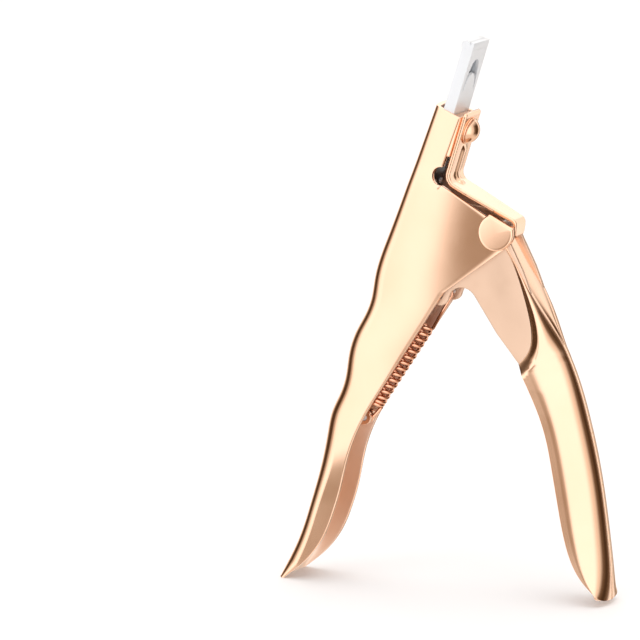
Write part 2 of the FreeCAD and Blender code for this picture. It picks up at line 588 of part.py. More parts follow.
def build_return_spring():
    """Open-coiled tension spring between the lever's pin and the fork, a closed loop at each end."""
    foot, top = at(*SPRING_FOOT), at(*EAR)
    axis = (top - foot).normalize()
    side = Vector(axis.z, 0, -axis.x)
    length = (top - foot).Length
    start, end = LOWER_LEAD, length - UPPER_LEAD
    turns = round((end - start) / COIL_PITCH)
    helix = Part.makeHelix((end - start) / turns, end - start, COIL_R)
    section = Part.Wire(Part.makeCircle(WIRE_R, Vector(COIL_R, 0, 0), Vector(0, 1, 0)))
    spring = Part.Wire(helix).makePipeShell([section], True, True)
    turn = FreeCAD.Rotation(Vector(0, 0, 1), axis)
    spring.Placement = FreeCAD.Placement(foot + axis * start, turn)
    pieces = [spring]
    for eye, lead in ((foot, foot + axis * start), (top, foot + axis * end)):
        outward = (eye - lead).normalize()
        hook = rod(lead + side * COIL_R + outward * WIRE_R, eye + side * LOOP_R, WIRE_R)
        pieces.append(clean(hook.fuse(Part.makeTorus(LOOP_R, WIRE_R, eye, Vector(0, 1, 0)))))
    return Part.makeCompound(pieces)


def main():
    save("body_shell", build_body_shell())
    save("cover_bracket", build_cover_bracket())
    save("clamp_screw", build_clamp_screw())
    save("screw_washer", build_screw_washer())
    save("guide_frame", build_guide_frame())
    save("guide_plate", build_guide_plate())
    save("guide_rivets", build_guide_rivets())
    save("blade", build_blade())
    save("blade_carrier", build_blade_carrier())
    save("blade_rivets", build_blade_rivets())
    save("lever_shell", build_lever_shell())
    save("pivot_pin", build_pivot_pin())
    save("pivot_bush", build_pivot_bush())
    save("pivot_washers", build_pivot_washers())
    save("drive_pin", build_drive_pin())
    save("spring_pin", build_spring_pin())
    save("spring_anchor", build_spring_anchor())
    save("anchor_pin", build_anchor_pin())
    save("return_spring", build_return_spring())


main()
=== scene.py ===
import json
import math

import bmesh
import bpy
import numpy as np
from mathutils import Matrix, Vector

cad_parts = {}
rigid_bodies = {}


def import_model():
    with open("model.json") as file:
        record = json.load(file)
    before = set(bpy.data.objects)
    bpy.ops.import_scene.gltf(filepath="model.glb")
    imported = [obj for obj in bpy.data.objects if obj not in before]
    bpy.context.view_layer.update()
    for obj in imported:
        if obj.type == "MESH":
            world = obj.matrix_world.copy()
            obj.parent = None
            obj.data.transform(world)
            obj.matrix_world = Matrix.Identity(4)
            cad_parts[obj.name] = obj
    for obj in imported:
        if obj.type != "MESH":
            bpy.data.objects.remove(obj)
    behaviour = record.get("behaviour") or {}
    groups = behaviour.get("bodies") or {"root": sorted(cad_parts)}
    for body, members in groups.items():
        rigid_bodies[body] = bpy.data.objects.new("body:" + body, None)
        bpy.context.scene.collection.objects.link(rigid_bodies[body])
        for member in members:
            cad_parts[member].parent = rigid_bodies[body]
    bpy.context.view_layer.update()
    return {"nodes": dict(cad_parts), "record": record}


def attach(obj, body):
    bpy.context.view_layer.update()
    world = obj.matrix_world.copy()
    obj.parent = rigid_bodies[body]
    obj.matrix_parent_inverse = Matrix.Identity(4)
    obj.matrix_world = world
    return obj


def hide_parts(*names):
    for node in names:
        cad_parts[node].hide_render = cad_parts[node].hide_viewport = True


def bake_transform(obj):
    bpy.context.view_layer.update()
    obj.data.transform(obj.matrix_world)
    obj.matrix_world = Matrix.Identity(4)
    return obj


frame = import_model()

# False-nail tip cutter. Shapes are written in millimetres, in the CAD frame: X from the fixed handle to
# the lever, Y across the width, Z up, the tool standing on its two tips.
MM = 0.001

# Camera: a long lens, in front of the tool and a little to its right, slightly above it
VIEW_TURN = 23.0
VIEW_RISE = 10.5
VIEW_DISTANCE = 1500.0
VIEW_TARGET = (-3.3, 0.0, 78.0)
LENS = 301.2
SENSOR = 36.0
SHIFT_X, SHIFT_Y = -0.1862, -0.0075

# Sheet, widths and roundings of the two pressed shells
WALL = 1.2
HALF_WIDTH_FOOT, HALF_WIDTH_TOP = 7.8, 6.72
TAPER_FOOT, TAPER_TOP = -8.0, 150.0
WEB_HALF = 5.4
PLATE_GAP = 0.02              # keeps faces that meet from lying in one plane
SPINE_ROUND_TOP, SPINE_ROUND_MID, SPINE_ROUND_FOOT = 1.9, 6.2, 3.4
LEVER_REACH = 0.84            # share of the lever's depth that its rounded back takes
LEVER_SHOULDER, LEVER_TOP, LEVER_TOP_HALF = 60.0, 99.3, 5.75   # the lever narrows above its shoulder
CHEEK_CROWN, CROWN_WIDTH = 1.0, 22.0     # how far the sides curve in towards the back, and over how much
CHEEK_BOW, CHEEK_CURVE = 0.45, 0.0018    # outward bow of the triangular cheeks, highest at x = 0
TOE = 0.06                               # how much the foot's sides close in towards the open edge
CROWN_RISE, TOE_FALL = (22.0, 48.0), (30.0, 42.0)       # heights over which these two come and go
CHEEK_RISE, CHEEK_FALL = (66.0, 88.0), (114.0, 122.0)   # the same for the cheeks' bow
BACK_CROWN = 0.25
SPINE_TOP, SPINE_REACH = 148.5, 1.15     # height at which SPINE_ROUND_TOP holds; reach of the rounding
FOOT_FALL = (20.0, 50.0)                 # heights over which the rounding shrinks to that of the foot
LIP = 0.28                               # rolled edge of the sheet

# Pivot and head
PIVOT = (16.8, 104.0)
BOSS_R, BOSS_LIFT, BOSS_TILT = 5.2, 0.9, 0.07
BOSS_EDGE, BOSS_DOME = 0.4, 0.06
EAR, EAR_R = (-0.9, 84.5), 2.7
EYE_R, ARM_END_R = 3.1, 3.0              # the lever's webs round the pivot and round the drive pin
ARM_LENGTH, ARM_DROP = 24.0, 7.0         # pivot to drive pin, and degrees below square to the blade's path
HEAD_LEAN = 17.5
BRIDGE_LOW, BRIDGE_HIGH, BRIDGE_BACK, BRIDGE_HALF = 14.5, 26.4, -22.35, 6.1
STRAP_BACK, STRAP_THICK, STRAP_TOP = -19.9, 1.3, 27.8
STRAP_HALF, STRAP_HOOK_HALF, STRAP_END_R = 5.2, 3.4, 2.6
SHELF_LINE = ((6.4, 113.14), (27.5, 102.27))
STRAP_LIP = 0.4
BEND_R, HOOK_R = 4.0, 0.8                # inner radii of the strap's bend and of its hook
HOOK_AT, HOOK_DROP, HOOK_SLANT = 15.5, 4.2, -0.12
RIB_START, RIB_END, RIB_EASE = 9.6, 24.5, 1.6   # along the strap from its top end
RIB_HALF, RIB_HIGH = 1.25, 0.7
END_HALF = 0.9                # least half width at the strap's rounded end
SCREW_ALONG = 22.2
DOME_R, DOME_HIGH = 3.7, 2.5
DOME_RIM_IN, DOME_RIM_UP = 0.25, 0.22    # small rounding under the dome's rim
SHANK_R, SHANK_DEEP = 2.0, 4.0
WASHER_THICK = 0.45

# Return spring
WIRE_R, COIL_R, COIL_PITCH = 0.5, 2.2, 2.05
SPRING_FOOT = (-25.6, 47.4)
LOWER_LEAD, UPPER_LEAD, LOOP_R = 4.6, 11.0, 1.5
LOOP_TURN = 250.0
CLOSED_COILS, CLOSED_PITCH = 2.5, 0.52   # the first coils lie closer, at this share of the pitch

# Outlines in the plane y = 0
BODY_BACK = [(-2.5, 138.5), (-9.9, 119.3), (-17.3, 100.8), (-21.8, 88.2), (-23.0, 82.0), (-25.0, 77.2),
             (-27.7, 72.4), (-30.1, 65.0), (-31.0, 59.5), (-32.8, 54.2), (-35.3, 49.0), (-36.7, 42.5),
             (-38.4, 32.5), (-41.3, 21.5), (-45.2, 10.6), (-49.8, 1.0), (-50.6, -1.0)]
BODY_EDGE = [(-21.4, 52.3), (-24.9, 46.2), (-27.6, 40.2), (-29.3, 34.5), (-31.0, 26.8), (-33.2, 19.6),
             (-36.2, 12.6), (-40.6, 6.6), (-48.3, 0.0)]
LEVER_BACK = [(15.0, 108.3), (19.7, 99.7), (24.0, 92.0), (28.3, 84.4), (33.8, 74.2), (38.8, 62.8),
              (41.9, 52.6), (44.8, 40.6), (46.8, 29.4), (48.3, 18.1), (49.2, 9.0), (49.3, 3.0), (48.9, -4.0)]
LEVER_EDGE = [(22.9, 67.0), (28.0, 57.2), (31.4, 48.5), (33.8, 37.8), (35.7, 27.6), (37.9, 17.6),
              (40.2, 11.4), (43.2, 6.9), (46.4, 3.8)]
LEVER_HEAD = (17.6, 101.6)    # front corner of the lever's skin, above the step and behind the hook
LEVER_NARROWS = (66.0, 92.0)  # heights over which the lever's back turns from round to flat
LEVER_RIM, LEVER_FLAT, LEVER_SHORT = 0.3, 0.8, 0.45   # limits of the back's rounding, see lever_row
RAMP_EASE = 0.25              # share of the step's ramp that is eased, the rest being straight
THIN_HEIGHTS = (78.0, 94.0)   # heights over which the sheet thins
THIN_TOP = 0.3                # share of the sheet's thickness left at the lever's very top
STEP_SLOPE = 0.5              # steepness of the step's ramp
STEP_LOW = 61.0               # below this the lever is at its full width right up to its open edge
STEP = [(19.0, 98.85), (20.6, 96.2), (22.6, 91.5), (25.4, 82.6), (26.6, 76.5), (26.2, 71.6), (22.9, 67.0)]
CHEEK_LOW, CHEEK_CORNER = (18.9, 99.2), (1.0, 85.9)
SLOPE_TOP, SLOPE_END = (0.3, 116.0), (13.2, 108.5)
FRONT_TOP, FRONT_LOW = (5.6, 135.2), (0.3, 121.1)
HOLLOW = (-2.7, 118.2)
CHEEK_INSIDE = (17.5, 105.6)     # corner of the cheek sheet, under the round boss
FAR_CHEEK_END = 19.4             # front end of the far cheek, which has no boss

lean = math.radians(HEAD_LEAN)
UP = np.array([math.sin(lean), math.cos(lean)])
OUT = np.array([math.cos(lean), -math.sin(lean)])


# Curves ------------------------------------------------------------------------------------

def head(along, out):
    return np.array(PIVOT) + along * UP + out * OUT


def spline(points, count):
    """Points along the natural cubic spline through the given ones, evenly spaced along it."""
    p = np.array(points, float)
    t = np.concatenate([[0.0], np.cumsum(np.linalg.norm(np.diff(p, axis=0), axis=1))])
    h = np.diff(t)
    size = len(p)
    left, right = np.zeros((size, size)), np.zeros_like(p)
    left[0, 0] = left[-1, -1] = 1.0
    for i in range(1, size - 1):
        left[i, i - 1:i + 2] = h[i - 1], 2 * (h[i - 1] + h[i]), h[i]
        right[i] = 6 * ((p[i + 1] - p[i]) / h[i] - (p[i] - p[i - 1]) / h[i - 1])
    bend = np.linalg.solve(left, right)
    s = np.linspace(0.0, t[-1], count)
    k = np.clip(np.searchsorted(t, s, side="right") - 1, 0, size - 2)
    gap = h[k][:, None]
    done, ahead = (s - t[k])[:, None], (t[k + 1] - s)[:, None]
    return ((bend[k] * ahead ** 3 + bend[k + 1] * done ** 3) / (6 * gap)
            + (p[k] / gap - bend[k] * gap / 6) * ahead + (p[k + 1] / gap - bend[k + 1] * gap / 6) * done)


def straight(a, b, count):
    share = np.linspace(0.0, 1.0, count)[:, None]
    return np.array(a, float) * (1 - share) + np.array(b, float) * share


def arc(centre, radius, first, last, count):
    turn = np.radians(np.linspace(first, last, count))
    return np.stack([centre[0] + radius * np.cos(turn), centre[1] + radius * np.sin(turn)], 1)


def arc_through(a, via, b, count):
    (ax, az), (vx, vz), (bx, bz) = a, via, b
    d = 2 * (ax * (vz - bz) + vx * (bz - az) + bx * (az - vz))
    sa, sv, sb = ax * ax + az * az, vx * vx + vz * vz, bx * bx + bz * bz
    cx = (sa * (vz - bz) + sv * (bz - az) + sb * (az - vz)) / d
    cz = (sa * (bx - vx) + sv * (ax - bx) + sb * (vx - ax)) / d
    angles = [math.degrees(math.atan2(z - cz, x - cx)) for x, z in (a, via, b)]
    first, middle, last = angles
    if (middle - first) % 360 > (last - first) % 360:
        last = first - (first - last) % 360
    else:
        last = first + (last - first) % 360
    return arc((cx, cz), math.hypot(ax - cx, az - cz), first, last, count)


def half_width(z):
    return HALF_WIDTH_FOOT - (HALF_WIDTH_FOOT - HALF_WIDTH_TOP) * (z - TAPER_FOOT) / (TAPER_TOP - TAPER_FOOT)


def lever_half(z):
    shoulder = half_width(LEVER_SHOULDER)
    share = max(0.0, (z - LEVER_SHOULDER) / (LEVER_TOP - LEVER_SHOULDER))
    return half_width(z) if z < LEVER_SHOULDER else shoulder + (LEVER_TOP_HALF - shoulder) * share


def ease(value, start, end):
    """0 at start, 1 at end, level at both."""
    share = min(1.0, max(0.0, (value - start) / (end - start)))
    return share * share * (3 - 2 * share)


# Meshes ------------------------------------------------------------------------------------

def add_object(name, points, faces, body, material, smooth=True):
    mesh = bpy.data.meshes.new(name)
    mesh.from_pydata([tuple(np.array(p) * MM) for p in points], [], faces)
    mesh.materials.append(material)
    mesh.update()
    bm = bmesh.new()
    bm.from_mesh(mesh)
    bmesh.ops.remove_doubles(bm, verts=bm.verts, dist=1e-7)
    bmesh.ops.recalc_face_normals(bm, faces=bm.faces)
    if sum(f.normal.y * f.calc_center_median().y * f.calc_area() for f in bm.faces) < 0:
        bmesh.ops.reverse_faces(bm, faces=bm.faces)
    bm.to_mesh(mesh)
    bm.free()
    if smooth:
        mesh.polygons.foreach_set("use_smooth", [True] * len(mesh.polygons))
    obj = bpy.data.objects.new(name, mesh)
    bpy.context.scene.collection.objects.link(obj)
    if body:
        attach(obj, body)
    return obj


class Build:
    """Points and faces of one piece, gathered from several grids."""

    def __init__(self):
        self.points, self.faces = [], []

    def grid(self, rows, closed=False):
        base, wide = len(self.points), len(rows[0])
        for row in rows:
            self.points.extend(row)
        for i in range(len(rows) - 1):
            for j in range(wide if closed else wide - 1):
                k = (j + 1) % wide
                a, b = base + i * wide + j, base + i * wide + k
                self.faces.append((a, b, b + wide, a + wide))

    def fan(self, ring):
        """Closes a ring of points with one face."""
        base = len(self.points)
        self.points.extend(ring)
        self.faces.append(tuple(range(base, base + len(ring))))


def sheet_metal(obj, inner):
    """Gives an outer skin its thickness, inwards, with a duller inner face, and rolls its cut edges."""
    obj.data.materials.append(inner)
    solid = obj.modifiers.new("wall", "SOLIDIFY")
    solid.thickness = WALL * MM
    solid.offset = -1.0
    solid.use_even_offset = False
    solid.material_offset = 1
    bevel = obj.modifiers.new("lip", "BEVEL")
    bevel.width = LIP * MM
    bevel.segments = 3
    bevel.limit_method = "ANGLE"
    bevel.angle_limit = math.radians(50)
    bevel.harden_normals = False


def apply_modifiers(obj):
    graph = bpy.context.evaluated_depsgraph_get()
    mesh = bpy.data.meshes.new_from_object(obj.evaluated_get(graph))
    obj.modifiers.clear()
    obj.data = mesh


def profile(front, back, reach, drop, half, inward, fullness=2.25, flat_columns=18, round_columns=18,
            back_columns=8):
    """Half a cross-section, from the cut edge over the rounding to the middle of the back."""
    run = front - back
    length = np.linalg.norm(run)
    way = run / length
    reach = min(reach, 0.86 * length)
    row = []
    for share in np.linspace(0.0, 1.0, flat_columns, endpoint=False):
        u = length + (reach - length) * (1 - (1 - share) ** 1.5)
        x, z = back + way * u
        row.append((x, half(z) - inward(x, z, u - reach), z))
    power = 2 / fullness
    x, z = back + way * reach
    crown = inward(x, z, 0.0)
    for turn in np.linspace(0.0, math.pi / 2, round_columns, endpoint=False):
        u = reach * (1 - math.sin(turn) ** power)
        x, z = back + way * (u + BACK_CROWN * math.sin(turn) ** 4)
        row.append((x, half(z) - crown - drop * (1 - max(math.cos(turn), 0.0) ** power), z))
    edge = half(back[1]) - crown - drop
    for share in np.linspace(0.0, 1.0, back_columns):
        x, z = back + way * BACK_CROWN * (1 - share) ** 2
        row.append((x, edge * (1 - share), z))
    return row


def both_sides(row):
    """A whole cross-section from its half: near side (-Y) first."""
    near = [(x, -y, z) for x, y, z in row]
    return near + [(x, y, z) for x, y, z in reversed(row[:-1])]


def at_height(curve, z):
    order = np.argsort(curve[:, 1])
    return np.array([np.interp(z, curve[order, 1], curve[order, 0]), z])


def spread(sections):
    """(front point, height on the back) pairs, row by row, from pieces of outline and their back heights."""
    rows = []
    for points, start, end in sections:
        steps = np.concatenate([[0.0], np.cumsum(np.linalg.norm(np.diff(points, axis=0), axis=1))])
        for point, s in zip(points, steps / steps[-1]):
            if rows and np.linalg.norm(rows[-1][0] - point) < 1e-6:
                continue
            rows.append((point, start + (end - start) * s))
    return rows


# Fixed handle ------------------------------------------------------------------------------

def body_inward(x, z, flat):
    """How far the fixed handle's side lies inside its plain taper, flat millimetres past the rounding."""
    curve = CHEEK_CROWN * ease(z, *CROWN_RISE) * max(0.0, 1 - flat / CROWN_WIDTH) ** 2
    cheek = ease(z, *CHEEK_RISE) * (1 - ease(z, *CHEEK_FALL))
    return curve - cheek * (CHEEK_BOW - CHEEK_CURVE * x * x) + TOE * flat * (1 - ease(z, *TOE_FALL))


def shorten_far_side(obj):
    """Cuts the far cheek off where it ends, short of the near one."""
    bm = bmesh.new()
    bm.from_mesh(obj.data)
    outside = [f for f in bm.faces if f.calc_center_median().y > 0]
    edges, verts = {e for f in outside for e in f.edges}, {v for f in outside for v in f.verts}
    bmesh.ops.bisect_plane(bm, geom=outside + list(edges) + list(verts), dist=1e-7,
                           plane_co=(FAR_CHEEK_END * MM, 0, 0), plane_no=(1, 0, 0), clear_outer=True)
    bm.to_mesh(obj.data)
    bm.free()


def body_skin(build):
    back = spline(BODY_BACK, 600)
    edge = spline(BODY_EDGE, 90)
    sections = [(straight(FRONT_TOP, FRONT_LOW, 22), 138.5, 124.0),
                (arc_through(FRONT_LOW, HOLLOW, SLOPE_TOP, 16), 124.0, 117.0),
                (straight(SLOPE_TOP, SLOPE_END, 22), 117.0, 108.6),
                (straight(SLOPE_END, CHEEK_INSIDE, 8), 108.6, 105.4),
                (straight(CHEEK_INSIDE, CHEEK_LOW, 10), 105.4, 100.0),
                (straight(CHEEK_LOW, CHEEK_CORNER, 30), 100.0, 84.5),
                (straight(CHEEK_CORNER, BODY_EDGE[0], 50), 84.5, 53.0),
                (edge, 53.0, 0.55)]
    rows = []
    for front, z in spread(sections):
        radius = SPINE_ROUND_MID + (SPINE_ROUND_TOP - SPINE_ROUND_MID) * z / SPINE_TOP
        radius += (SPINE_ROUND_FOOT - radius) * (1 - ease(z, *FOOT_FALL))
        rows.append(both_sides(profile(front, at_height(back, z), SPINE_REACH * radius, SPINE_REACH * radius,
                                       half_width, body_inward)))
    build.grid(rows)


def puck(outline, side, base, top, edge, dome):
    """A raised boss with a rolled rim: rings from its foot to its slightly domed face, and its middle."""
    middle = outline.mean(0)
    size = np.linalg.norm(outline - middle, axis=1).mean()
    rings = []
    for level in (base - WALL, base, top - edge):
        rings.append((0.0, level))
    for turn in np.linspace(0.0, math.pi / 2, 6)[1:]:
        rings.append((edge * (1 - math.cos(turn)), top - edge * (1 - math.sin(turn))))
    for share in np.linspace(0.0, 1.0, 10)[1:-1]:
        inset = edge + (size - edge) * share
        rings.append((inset, top + dome * (1 - (1 - share) ** 2)))
    rows = []
    for inset, y in rings:
        ring = middle + (outline - middle) * (1 - inset / size)
        rows.append([(x, side * (y - BOSS_TILT * (z - middle[1]) * (y > base)), z) for x, z in ring])
    return rows, (middle[0], side * (top + dome), middle[1])


def boss(build, side):
    foot, end = np.array(SHELF_LINE[0]), np.array(SHELF_LINE[1])
    way = (end - foot) / np.linalg.norm(end - foot)
    to_pivot = np.array(PIVOT) - foot
    reach = to_pivot @ way
    off = math.sqrt(np.linalg.norm(to_pivot) ** 2 - reach ** 2)
    half = math.sqrt(BOSS_R ** 2 - off ** 2)
    right, left = foot + way * (reach + half), foot + way * (reach - half)
    first = math.degrees(math.atan2(right[1] - PIVOT[1], right[0] - PIVOT[0]))
    last = math.degrees(math.atan2(left[1] - PIVOT[1], left[0] - PIVOT[0])) - 360
    outline = np.concatenate([arc(PIVOT, BOSS_R, first, last, 56), straight(left, right, 20)[1:-1]])
    base = half_width(PIVOT[1])
    rings, tip = puck(outline, side, base, base + BOSS_LIFT, BOSS_EDGE, BOSS_DOME)
    start = len(build.points)
    build.grid(rings, closed=True)
    wide = len(outline)
    last_ring = start + (len(rings) - 1) * wide
    build.points.append(tip)
    for j in range(wide):
        build.faces.append((last_ring + j, last_ring + (j + 1) % wide, len(build.points) - 1))
    build.fan(list(reversed(rings[0])))


def rounded_bar(build, corners, half, radius=0.35, steps=3):
    """A bar across the width with the given four corners, its long edges and its ends rounded."""
    corners = np.array(corners, float)
    ring = []
    for i, corner in enumerate(corners):
        before, after = corners[i - 1] - corner, corners[(i + 1) % len(corners)] - corner
        before, after = before / np.linalg.norm(before), after / np.linalg.norm(after)
        centre = corner + (before + after) * radius
        for turn in np.linspace(0.0, math.pi / 2, steps + 1):
            ring.append(centre - after * radius * math.cos(turn) - before * radius * math.sin(turn))
    ring = np.array(ring)
    middle = ring.mean(0)
    spans = np.ptp(ring, axis=0).mean() / 2
    rows = []
    for turn in np.linspace(0.0, math.pi / 2, steps + 1):
        inset, y = radius * (1 - math.sin(turn)), -half + radius * (1 - math.cos(turn))
        rows.append((inset, y))
    rows += [(inset, -y) for inset, y in reversed(rows)]
    grid = []
    for inset, y in rows:
        size = 1 - inset / spans
        grid.append([(x, y, z) for x, z in middle + (ring - middle) * size])
    build.grid(grid, closed=True)
    build.fan(list(reversed(grid[0])))
    build.fan(grid[-1])


def make_fixed_handle(rose, inner):
    skin = Build()
    body_skin(skin)
    shell = add_object("handle_shell", skin.points, skin.faces, None, rose)
    shorten_far_side(shell)
    sheet_metal(shell, inner)
    apply_modifiers(shell)
    trim = Build()
    boss(trim, -1)
    rounded_bar(trim, [head(BRIDGE_LOW, BRIDGE_BACK), head(BRIDGE_HIGH, BRIDGE_BACK),
                       head(BRIDGE_HIGH, STRAP_BACK), head(BRIDGE_LOW, STRAP_BACK)], BRIDGE_HALF)
    parts = add_object("handle_bosses", trim.points, trim.faces, None, rose)
    shell = join([shell, parts], "fixed_handle_shell")
    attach(shell, "fixed_handle")
    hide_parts("body_shell")


def join(objects, name):
    for obj in bpy.context.scene.objects:
        obj.select_set(False)
    for obj in objects:
        obj.select_set(True)
    bpy.context.view_layer.objects.active = objects[0]
    bpy.ops.object.join()
    objects[0].name = name
    return objects[0]


# Lever -------------------------------------------------------------------------------------

def lever_row(front, back, step):
    """Half a cross-section of the lever, lowered softly to the plane of the webs along the step."""
    length = np.linalg.norm(front - back)
    ramp = (lever_half(front[1]) - WEB_HALF) / STEP_SLOPE if front[1] > STEP_LOW + 4 else 0.0
    reach = min(LEVER_REACH * length, max(LEVER_SHORT * length, length - ramp))
    drop = (lever_half(back[1]) - LEVER_RIM) * (1 - LEVER_FLAT * ease(front[1], *LEVER_NARROWS))
    row = profile(front, back, reach, drop, lever_half, lambda x, z, flat: 0.0,
                  fullness=2.0, flat_columns=30, round_columns=44)
    web = WEB_HALF - PLATE_GAP
    out = []
    for x, y, z in row:
        away = np.linalg.norm(step - (x, z), axis=1).min()
        share = away * STEP_SLOPE / (lever_half(z) - web)
        lift = (1 - RAMP_EASE) * min(1.0, share) + RAMP_EASE * ease(share, 0.0, 1.0) if z > STEP_LOW else 1.0
        out.append((x, y if y < web else web + (y - web) * lift, z))
    return out


def lever_skin(build):
    back = spline(LEVER_BACK, 600)
    step = spline(STEP, 90)
    edge = spline(LEVER_EDGE, 110)
    sections = [(straight(LEVER_HEAD, STEP[0], 8), 101.2, 98.2), (step, 98.2, 71.5), (edge, 71.5, 1.2)]
    build.grid([both_sides(lever_row(front, at_height(back, z), step)) for front, z in spread(sections)])


def web_outline():
    ear_left, ear_right = 138.0, -8.0
    ear = arc(EAR, EAR_R, ear_left, ear_right + 360, 26)
    notch = arc_through((2.5, 85.9), (6.0, 87.3), (9.6, 85.2), 16)
    eye = arc(PIVOT, EYE_R, -30.0, 138.0, 24)
    web_edge = np.array([(16.2, 75.2)])
    inner = spline([(22.9, 67.0), (26.4, 69.8), (28.3, 74.0), (28.6, 79.0), (26.9, 86.0), (24.0, 93.5)], 24)
    return np.concatenate([ear, notch, web_edge, inner, eye])


def plate(build, outline, y0, y1, lip=0.25, steps=3):
    """A flat plate between two planes across the width, its cut edge rolled on both faces."""
    ahead, behind = np.roll(outline, -1, 0), np.roll(outline, 1, 0)
    way = ahead - behind
    way /= np.linalg.norm(way, axis=1)[:, None]
    area = np.sum(outline[:, 0] * ahead[:, 1] - ahead[:, 0] * outline[:, 1])
    inward = np.stack([-way[:, 1], way[:, 0]], 1) * (1 if area > 0 else -1)
    levels = []
    for turn in np.linspace(0.0, math.pi / 2, steps + 1):
        levels.append((lip * (1 - math.sin(turn)), lip * (1 - math.cos(turn))))
    grid = [[(x, y0 + up, z) for x, z in outline + inward * inset] for inset, up in levels]
    grid += [[(x, y1 - up, z) for x, z in outline + inward * inset] for inset, up in reversed(levels)]
    build.grid(grid, closed=True)
    build.fan(list(reversed(grid[0])))
    build.fan(grid[-1])


def arm_outline():
    drop = math.radians(ARM_DROP)
    pin = head(-ARM_LENGTH * math.sin(drop), -ARM_LENGTH * math.cos(drop))
    run = pin - np.array(PIVOT)
    tilt = math.degrees(math.atan2(run[1], run[0]))
    return np.concatenate([arc(PIVOT, EYE_R, tilt - 90, tilt - 270, 20),
                           arc(pin, ARM_END_R, tilt + 90, tilt - 90, 20)])


def make_lever(rose, inner, satin):
    skin = Build()
    lever_skin(skin)
    shell = add_object("lever_skin", skin.points, skin.faces, None, rose)
    thinning = shell.vertex_groups.new(name="wall")
    for vertex in shell.data.vertices:
        share = 1 - (1 - THIN_TOP) * ease(vertex.co.z / MM, *THIN_HEIGHTS)
        thinning.add([vertex.index], share, "REPLACE")
    sheet_metal(shell, inner)
    shell.modifiers["wall"].vertex_group = "wall"
    apply_modifiers(shell)
    webs = Build()
    for side in (-1, 1):
        y0, y1 = sorted((side * (WEB_HALF - WALL), side * WEB_HALF))
        plate(webs, web_outline(), y0, y1)
        y0, y1 = sorted((side * (WEB_HALF - WALL + PLATE_GAP / 2), side * (WEB_HALF - PLATE_GAP / 2)))
        plate(webs, arm_outline(), y0, y1)
    parts = add_object("lever_webs", webs.points, webs.faces, None, satin)
    shell = join([shell, parts], "lever_shell_visual")
    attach(shell, "lever")
    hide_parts("lever_shell")


# Cover bracket and screw -------------------------------------------------------------------

def bent_path(points, radii, spacing=0.5):
    """Points and directions along straight runs joined by arcs."""
    path = []
    start = np.array(points[0], float)
    for before, corner, after, radius in zip(points, points[1:], points[2:], radii):
        a, b = np.array(before) - corner, np.array(after) - corner
        a, b = a / np.linalg.norm(a), b / np.linalg.norm(b)
        half = math.acos(a @ b) / 2
        reach = radius / math.tan(half)
        first, last = corner + a * reach, corner + b * reach
        via = corner + (a + b) / np.linalg.norm(a + b) * (radius / math.sin(half) - radius)
        path.append(straight(start, first, max(2, int(np.linalg.norm(first - start) / spacing)))[:-1])
        path.append(arc_through(first, via, last, 14)[:-1])
        start = last
    path.append(straight(start, points[-1], max(2, int(np.linalg.norm(points[-1] - start) / spacing))))
    path = np.concatenate(path)
    way = np.gradient(path, axis=0)
    return path, way / np.linalg.norm(way, axis=1)[:, None]


def strap_half(x, to_end):
    """Half width of the strap: narrowing along the lower leg, its end corners rounded."""
    far = SHELF_LINE[0][0] + HOOK_AT
    share = min(1.0, max(0.0, (x - SHELF_LINE[0][0]) / (far - SHELF_LINE[0][0])))
    half = STRAP_HALF + (STRAP_HOOK_HALF - STRAP_HALF) * share
    if to_end < STRAP_END_R:
        half -= STRAP_END_R - math.sqrt(STRAP_END_R ** 2 - (STRAP_END_R - max(to_end, 0.0)) ** 2)
    return half


def strap_section(rib, half):
    """Cross-section of the strap as (across, thickness) points, with rolled edges and a raised rib."""
    thick, lip = STRAP_THICK, STRAP_LIP
    ring = []
    for turn in np.linspace(0.0, math.pi / 2, 5):
        ring.append((-half + lip - lip * math.cos(turn), thick - lip + lip * math.sin(turn)))
    for y in np.linspace(-half + 0.45, half - 0.45, 61):
        swell = 1 / (1 + (abs(y) / RIB_HALF) ** 5)
        ring.append((y, thick + rib * swell))
    ring += [(-y, h) for y, h in reversed(ring[:5])]
    for turn in np.linspace(0.0, math.pi / 2, 5):
        ring.append((half - lip + lip * math.cos(turn), lip - lip * math.sin(turn)))
    ring += [(-y, h) for y, h in reversed(ring[-5:])]
    return ring


def make_bracket(rose):
    top = head(STRAP_TOP, STRAP_BACK)
    low, end = np.array(SHELF_LINE[0]), np.array(SHELF_LINE[1])
    way = (end - low) / np.linalg.norm(end - low)
    side = np.array([-way[1], way[0]])
    corner = top + UP * ((low - top) @ side / (UP @ side))
    turn_at = low + way * HOOK_AT
    drop = np.array([HOOK_SLANT, -1.0])
    tip = turn_at + drop / np.linalg.norm(drop) * HOOK_DROP
    path, ways = bent_path([top, corner, turn_at, tip], [BEND_R, HOOK_R])
    lengths = np.concatenate([[0.0], np.cumsum(np.linalg.norm(np.diff(path, axis=0), axis=1))])
    total = lengths[-1]
    build = Build()
    rows = []
    for (x, z), (dx, dz), s in zip(path, ways, lengths):
        rise = ease(s, RIB_START, RIB_START + RIB_EASE) * (1 - ease(s, RIB_END - RIB_EASE, RIB_END))
        half = max(END_HALF, strap_half(x, total - s))
        ring = strap_section(RIB_HIGH * rise if half > 3 else 0.0, half)
        close = min(s, total - s)
        if close < STRAP_LIP:
            tight = STRAP_LIP - math.sqrt(max(0.0, STRAP_LIP ** 2 - (STRAP_LIP - close) ** 2))
            core = STRAP_THICK / 2
            ring = [(y * (1 - tight / half), core + (h - core) * (1 - tight / core)) for y, h in ring]
        rows.append([(x - dz * h, y, z + dx * h) for y, h in ring])
    build.grid(rows, closed=True)
    build.fan(list(reversed(rows[0])))
    build.fan(rows[-1])
    strap = add_object("cover_strap", build.points, build.faces, "fixed_handle", rose)
    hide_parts("cover_bracket")


